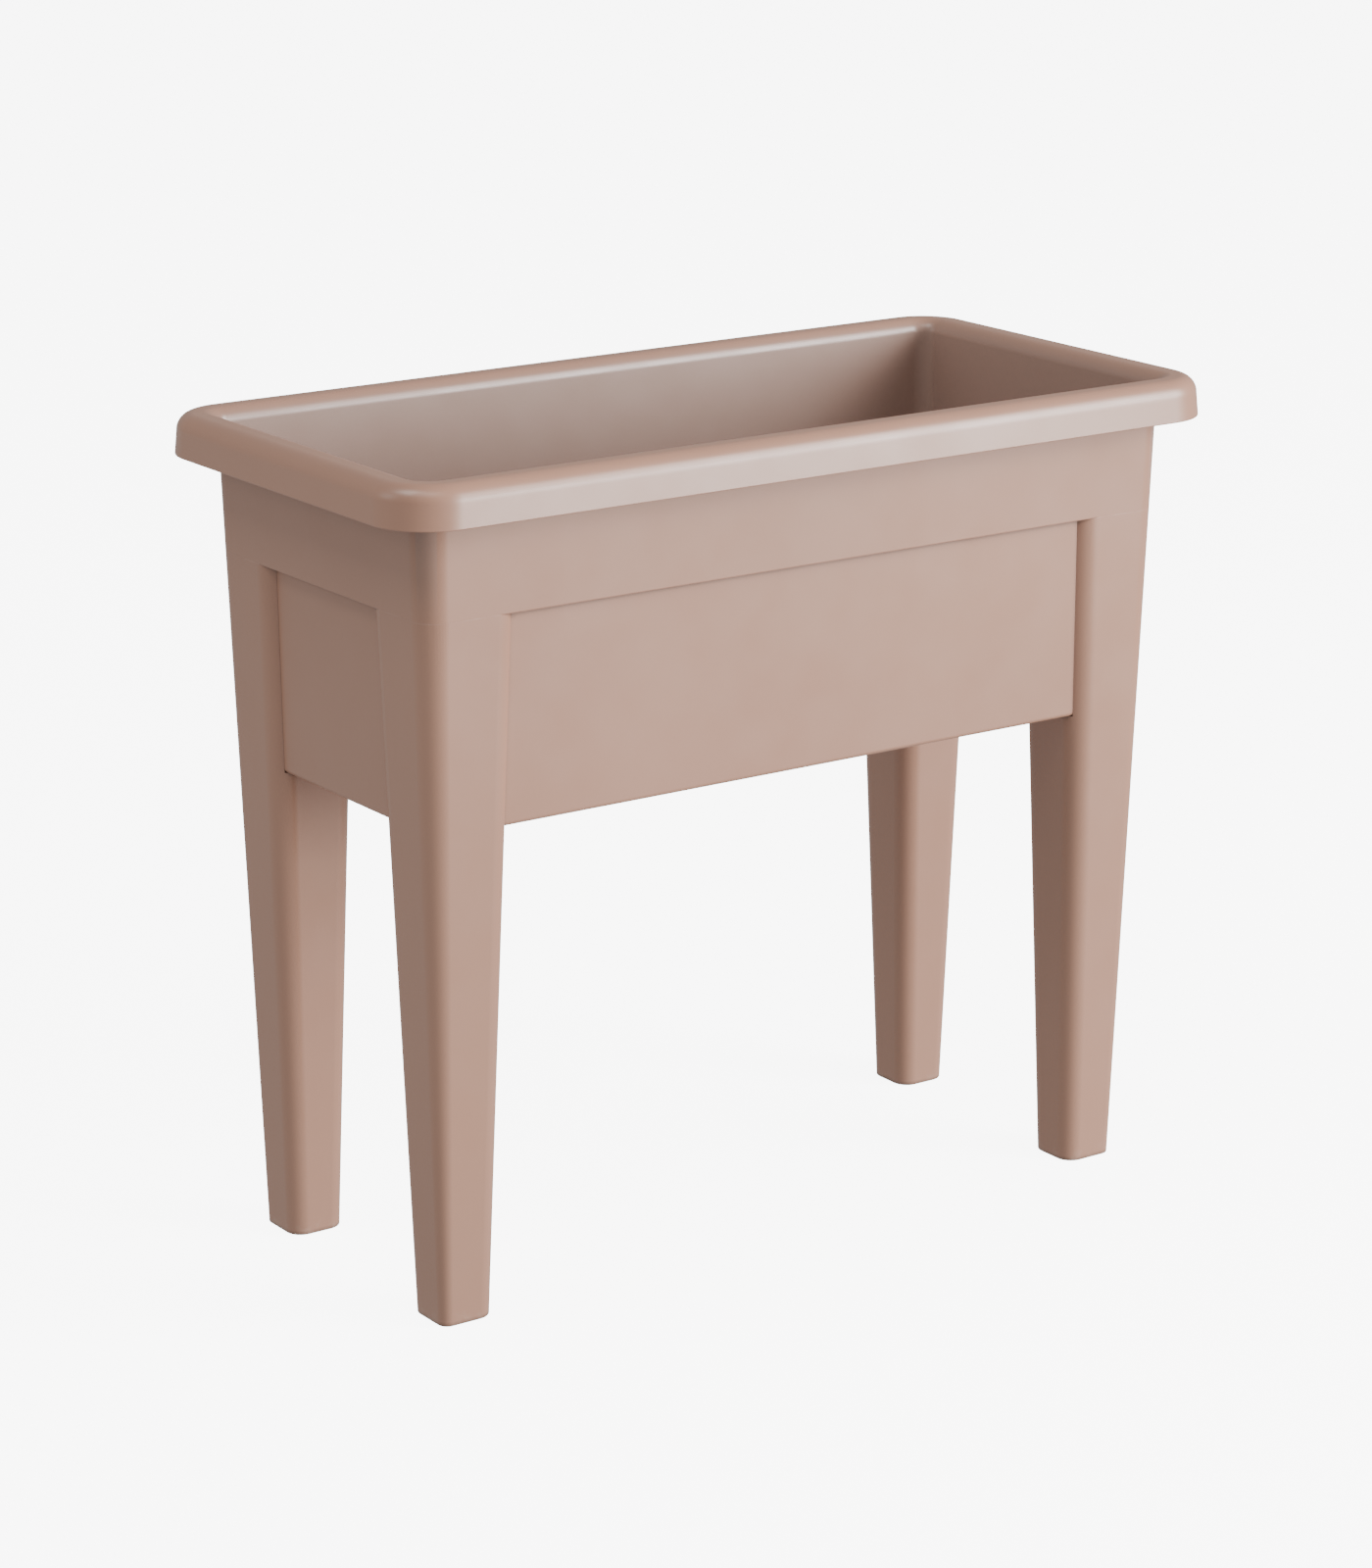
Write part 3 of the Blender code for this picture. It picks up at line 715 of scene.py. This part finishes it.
class Nodes:
    """A short way to wire one material's nodes."""

    def __init__(self, name):
        self.material = bpy.data.materials.new(name)
        self.material.use_nodes = True
        self.tree = self.material.node_tree
        self.shader = self.tree.nodes["Principled BSDF"]
        self.place = self.add("ShaderNodeTexCoord").outputs["Object"]

    def add(self, kind, **settings):
        node = self.tree.nodes.new(kind)
        for key, value in settings.items():
            setattr(node, key, value)
        return node

    def link(self, output, socket):
        self.tree.links.new(output, socket)

    def set(self, **values):
        for name, value in values.items():
            self.shader.inputs[name.replace("_", " ")].default_value = value

    def noise(self, scale, detail=2.0, stretch=None):
        place = self.place
        if stretch:
            mapping = self.add("ShaderNodeMapping")
            mapping.inputs["Scale"].default_value = stretch
            self.link(place, mapping.inputs["Vector"])
            place = mapping.outputs["Vector"]
        node = self.add("ShaderNodeTexNoise")
        node.inputs["Scale"].default_value = scale
        node.inputs["Detail"].default_value = detail
        self.link(place, node.inputs["Vector"])
        return node.outputs["Fac"]

    def span(self, value, from_low, from_high, to_low, to_high):
        node = self.add("ShaderNodeMapRange")
        limits = {"From Min": from_low, "From Max": from_high, "To Min": to_low, "To Max": to_high}
        for name, limit in limits.items():
            node.inputs[name].default_value = limit
        self.link(value, node.inputs["Value"])
        return node.outputs["Result"]

    def maths(self, operation, first, second):
        node = self.add("ShaderNodeMath", operation=operation)
        for socket, value in zip(node.inputs, (first, second)):
            if isinstance(value, (int, float)):
                socket.default_value = value
            else:
                self.link(value, socket)
        return node.outputs[0]

    def mix(self, factor, first, second):
        """Mixes two colours, each an RGB triple or another node's colour."""
        node = self.add("ShaderNodeMix", data_type="RGBA")
        self.link(factor, node.inputs[0])
        for socket, value in zip((node.inputs[6], node.inputs[7]), (first, second)):
            if isinstance(value, tuple):
                socket.default_value = (*value, 1)
            else:
                self.link(value, socket)
        return node.outputs[2]

    def edges(self, radius):
        """Near 1 on edges sharper than the radius, and 0 on flat faces."""
        soft = self.add("ShaderNodeBevel", samples=4)
        soft.inputs["Radius"].default_value = radius
        true = self.add("ShaderNodeNewGeometry")
        product = self.add("ShaderNodeVectorMath", operation="DOT_PRODUCT")
        self.link(soft.outputs["Normal"], product.inputs[0])
        self.link(true.outputs["Normal"], product.inputs[1])
        return self.span(product.outputs["Value"], 0.995, 0.90, 0.0, 1.0)

    def creases(self, reach):
        """Near 1 deep in a crease and 0 on open faces, from ambient occlusion; used to paint shade into
        creases.
        """
        node = self.add("ShaderNodeAmbientOcclusion", samples=8)
        node.inputs["Distance"].default_value = reach
        return self.span(node.outputs["AO"], 0.87, 0.66, 0.0, 1.0)

    def bumps(self, heights):
        """Bump maps on top of each other, each a height and its distance in metres."""
        normal = None
        for height, distance in heights:
            node = self.add("ShaderNodeBump")
            node.inputs["Distance"].default_value = distance
            self.link(height, node.inputs["Height"])
            if normal:
                self.link(normal, node.inputs["Normal"])
            normal = node.outputs["Normal"]
        self.link(normal, self.shader.inputs["Normal"])


def shade(colour, factor):
    return tuple(channel * factor for channel in colour)


def taupe_plastic():
    """Satin moulded plastic: faint flow marks, a fine grain, paler rubbed edges and feet, a greyer inside
    that is painted sheen, and painted shade darkening its creases.
    """
    nodes = Nodes("taupe_moulded")
    base = (0.450, 0.240, 0.163)
    flow = nodes.span(nodes.noise(4.5, 3), 0.35, 0.65, 0.0, 1.0)
    speckle = nodes.span(nodes.noise(900, 1), 0.3, 0.7, 0.0, 1.0)
    colour = nodes.mix(flow, shade(base, 0.975), shade(base, 1.02))
    # Painted sheen: the trough's inside is mixed to a greyer tone, standing in for the pale haze the lights
    # leave on its inner walls.
    inside = nodes.add("ShaderNodeAttribute", attribute_name="inside").outputs["Fac"]
    colour = nodes.mix(inside, colour, (0.400, 0.262, 0.212))
    colour = nodes.mix(nodes.maths("MULTIPLY", speckle, 0.10), colour, shade(base, 0.86))
    worn = nodes.span(nodes.noise(55, 4), 0.42, 0.62, 0.05, 0.45)
    rubbed = nodes.maths("MULTIPLY", nodes.edges(0.0012), worn)
    colour = nodes.mix(rubbed, colour, (0.56, 0.34, 0.26))
    # Painted shade: an ambient-occlusion mask darkens creases, recesses and the line under the band, standing
    # in for the shade that falls there.
    patchy = nodes.span(nodes.noise(30, 3), 0.3, 0.7, 0.85, 1.0)
    crease_shade = nodes.maths("MULTIPLY", nodes.creases(0.007), patchy)
    colour = nodes.mix(crease_shade, colour, shade(base, 0.42))
    height = nodes.add("ShaderNodeSeparateXYZ")
    nodes.link(nodes.place, height.inputs[0])
    near_floor = nodes.span(height.outputs["Z"], 0.012, 0.0, 0.0, 1.0)
    scratched = nodes.span(nodes.noise(140, 5), 0.5, 0.66, 0.0, 0.35)
    scuffs = nodes.maths("MULTIPLY", near_floor, scratched)
    colour = nodes.mix(scuffs, colour, (0.52, 0.36, 0.28))
    nodes.link(colour, nodes.shader.inputs["Base Color"])
    rough = nodes.span(nodes.noise(24, 4), 0.3, 0.7, 0.30, 0.37)
    rough = nodes.maths("ADD", rough, nodes.maths("MULTIPLY", rubbed, 0.2))
    nodes.link(rough, nodes.shader.inputs["Roughness"])
    nodes.bumps([(nodes.noise(9, 2), 0.00025), (nodes.noise(1300, 2), 0.000012)])
    nodes.set(IOR=1.70)
    return nodes.material


def dark_plastic():
    """Matte moulded plastic with a spark-eroded grain and rubbed edges."""
    nodes = Nodes("dark_moulded")
    base = (0.046, 0.042, 0.040)
    mottled = nodes.span(nodes.noise(14, 4), 0.35, 0.65, 0.0, 1.0)
    colour = nodes.mix(mottled, shade(base, 0.85), shade(base, 1.2))
    worn = nodes.span(nodes.noise(90, 4), 0.4, 0.6, 0.1, 0.6)
    rubbed = nodes.maths("MULTIPLY", nodes.edges(0.0008), worn)
    colour = nodes.mix(rubbed, colour, (0.11, 0.10, 0.095))
    nodes.link(colour, nodes.shader.inputs["Base Color"])
    nodes.link(nodes.span(nodes.noise(60, 3), 0.3, 0.7, 0.70, 0.82), nodes.shader.inputs["Roughness"])
    nodes.bumps([(nodes.noise(1100, 3), 0.00003)])
    nodes.set(IOR=1.40)
    return nodes.material


def black_rubber():
    nodes = Nodes("seal_rubber")
    dusty = nodes.span(nodes.noise(160, 5), 0.45, 0.7, 0.0, 0.5)
    colour = nodes.mix(dusty, (0.013, 0.013, 0.013), (0.04, 0.038, 0.035))
    nodes.link(colour, nodes.shader.inputs["Base Color"])
    nodes.link(nodes.span(nodes.noise(220, 3), 0.3, 0.7, 0.66, 0.82), nodes.shader.inputs["Roughness"])
    nodes.bumps([(nodes.noise(1500, 2), 0.00002)])
    return nodes.material


def zinc_steel():
    """Zinc-plated steel: slightly mottled, with fine turning marks."""
    nodes = Nodes("zinc_plated")
    mottled = nodes.span(nodes.noise(420, 4), 0.35, 0.65, 0.0, 1.0)
    colour = nodes.mix(mottled, (0.54, 0.545, 0.53), (0.68, 0.68, 0.65))
    nodes.link(colour, nodes.shader.inputs["Base Color"])
    nodes.link(nodes.span(nodes.noise(800, 4), 0.3, 0.7, 0.26, 0.42), nodes.shader.inputs["Roughness"])
    nodes.bumps([(nodes.noise(700, 3, (1, 1, 6)), 0.00001)])
    nodes.set(Metallic=1.0)
    return nodes.material


def studio_paper(name, tone, glow):
    """Matt glowing paper of a slightly uneven tone. It is clear from behind, to show the underside."""
    nodes = Nodes(name)
    uneven = nodes.mix(nodes.noise(0.8, 2), shade(tone, 0.98), shade(tone, 1.02))
    nodes.link(uneven, nodes.shader.inputs["Base Color"])
    nodes.shader.inputs["Emission Color"].default_value = (1, 1, 1, 1)
    nodes.set(Roughness=1.0, Specular_IOR_Level=0.0, Emission_Strength=glow)
    one_sided = nodes.add("ShaderNodeMixShader")
    nodes.link(nodes.add("ShaderNodeNewGeometry").outputs["Backfacing"], one_sided.inputs[0])
    nodes.link(nodes.shader.outputs[0], one_sided.inputs[1])
    nodes.link(nodes.add("ShaderNodeBsdfTransparent").outputs[0], one_sided.inputs[2])
    nodes.link(one_sided.outputs[0], nodes.tree.nodes["Material Output"].inputs["Surface"])
    return nodes.material


# Studio


def floor_and_backdrop():
    """A floor whose glow lights the planter from below, and a backdrop that only the camera sees."""
    bounce = turned("studio_floor", [(0, 0), (WALL_OF_STUDIO, 0)], False)
    bounce.location.z = -2 * BELOW_FEET
    bounce.visible_camera = False
    bounce.data.materials.append(studio_paper("studio_floor", (0.004, 0.004, 0.004), FLOOR_GLOW))

    profile = [(0, 0)]
    for step in range(ROUND_STEPS + 1):
        angle = math.pi / 2 * step / ROUND_STEPS
        radius = WALL_OF_STUDIO - BEND_OF_STUDIO * (1 - math.sin(angle))
        profile.append((radius, BEND_OF_STUDIO * (1 - math.cos(angle))))
    profile.append((WALL_OF_STUDIO, HEIGHT_OF_STUDIO))
    backdrop = turned("studio_backdrop", profile, False)
    backdrop.location.z = -BELOW_FEET
    backdrop.data.shade_smooth()
    backdrop.data.materials.append(studio_paper("studio_backdrop", (0.84, 0.84, 0.84), BACKDROP_GLOW))
    for kind in ("diffuse", "glossy", "transmission", "volume_scatter", "shadow"):
        setattr(backdrop, f"visible_{kind}", False)


def softbox(name, azimuth, elevation, size, power):
    """A square light at the studio's distance, turned to the planter."""
    light = bpy.data.lights.new(name, "AREA")
    light.shape = "SQUARE"
    light.size = size
    light.energy = power
    made = bpy.data.objects.new(name, light)
    bpy.context.scene.collection.objects.link(made)
    around, up = math.radians(azimuth), math.radians(elevation)
    towards = Vector((math.cos(up) * math.cos(around), math.cos(up) * math.sin(around), math.sin(up)))
    made.location = LIGHTS_AIM + towards * LIGHTS_DISTANCE
    made.location.z = max(made.location.z, size / 2 + LIGHTS_OFF_FLOOR)
    made.rotation_euler = (LIGHTS_AIM - made.location).to_track_quat("-Z", "Y").to_euler()
    made.visible_camera = False


def studio():
    floor_and_backdrop()
    for number, (azimuth, elevation, size, power) in enumerate(SOFTBOXES, 1):
        softbox(f"softbox_{number}", azimuth, elevation, size, power)
    world = bpy.data.worlds.new("studio")
    world.use_nodes = True
    background = world.node_tree.nodes["Background"]
    background.inputs["Color"].default_value = (1, 1, 1, 1)
    background.inputs["Strength"].default_value = WORLD_LIGHT
    bpy.context.scene.world = world


def camera():
    data = bpy.data.cameras.new("camera")
    data.lens = CAMERA_LENS
    data.sensor_width = CAMERA_SENSOR
    made = bpy.data.objects.new("camera", data)
    bpy.context.scene.collection.objects.link(made)
    made.location = CAMERA_PLACE
    made.rotation_euler = [math.radians(angle) for angle in CAMERA_TURN]
    bpy.context.scene.camera = made


# The pieces, each on its body


def place(piece, body, nodes, slot, material):
    piece.data.materials.clear()
    piece.data.materials.append(material)
    shaded(piece)
    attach(piece, body)
    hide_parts(*nodes)


def planter():
    taupe, dark, rubber, zinc = taupe_plastic(), dark_plastic(), black_rubber(), zinc_steel()
    place(planter_trough(), "planter", ["planter_trough"], "taupe_plastic", taupe)
    for leg, node in legs():
        place(leg, "planter", [node], "taupe_plastic", taupe)
    for screw, node in leg_screws():
        place(screw, "planter", [node], "zinc_steel", zinc)
    place(plug_seal(), "plug_seal", ["plug_seal"], "black_rubber", rubber)
    for piece in drain_plug():
        place(piece, "drain_plug", ["drain_plug"], "dark_plastic", dark)
    place(reservoir_grid(), "reservoir_grid", ["reservoir_grid"], "dark_plastic", dark)


planter()
camera()
studio()
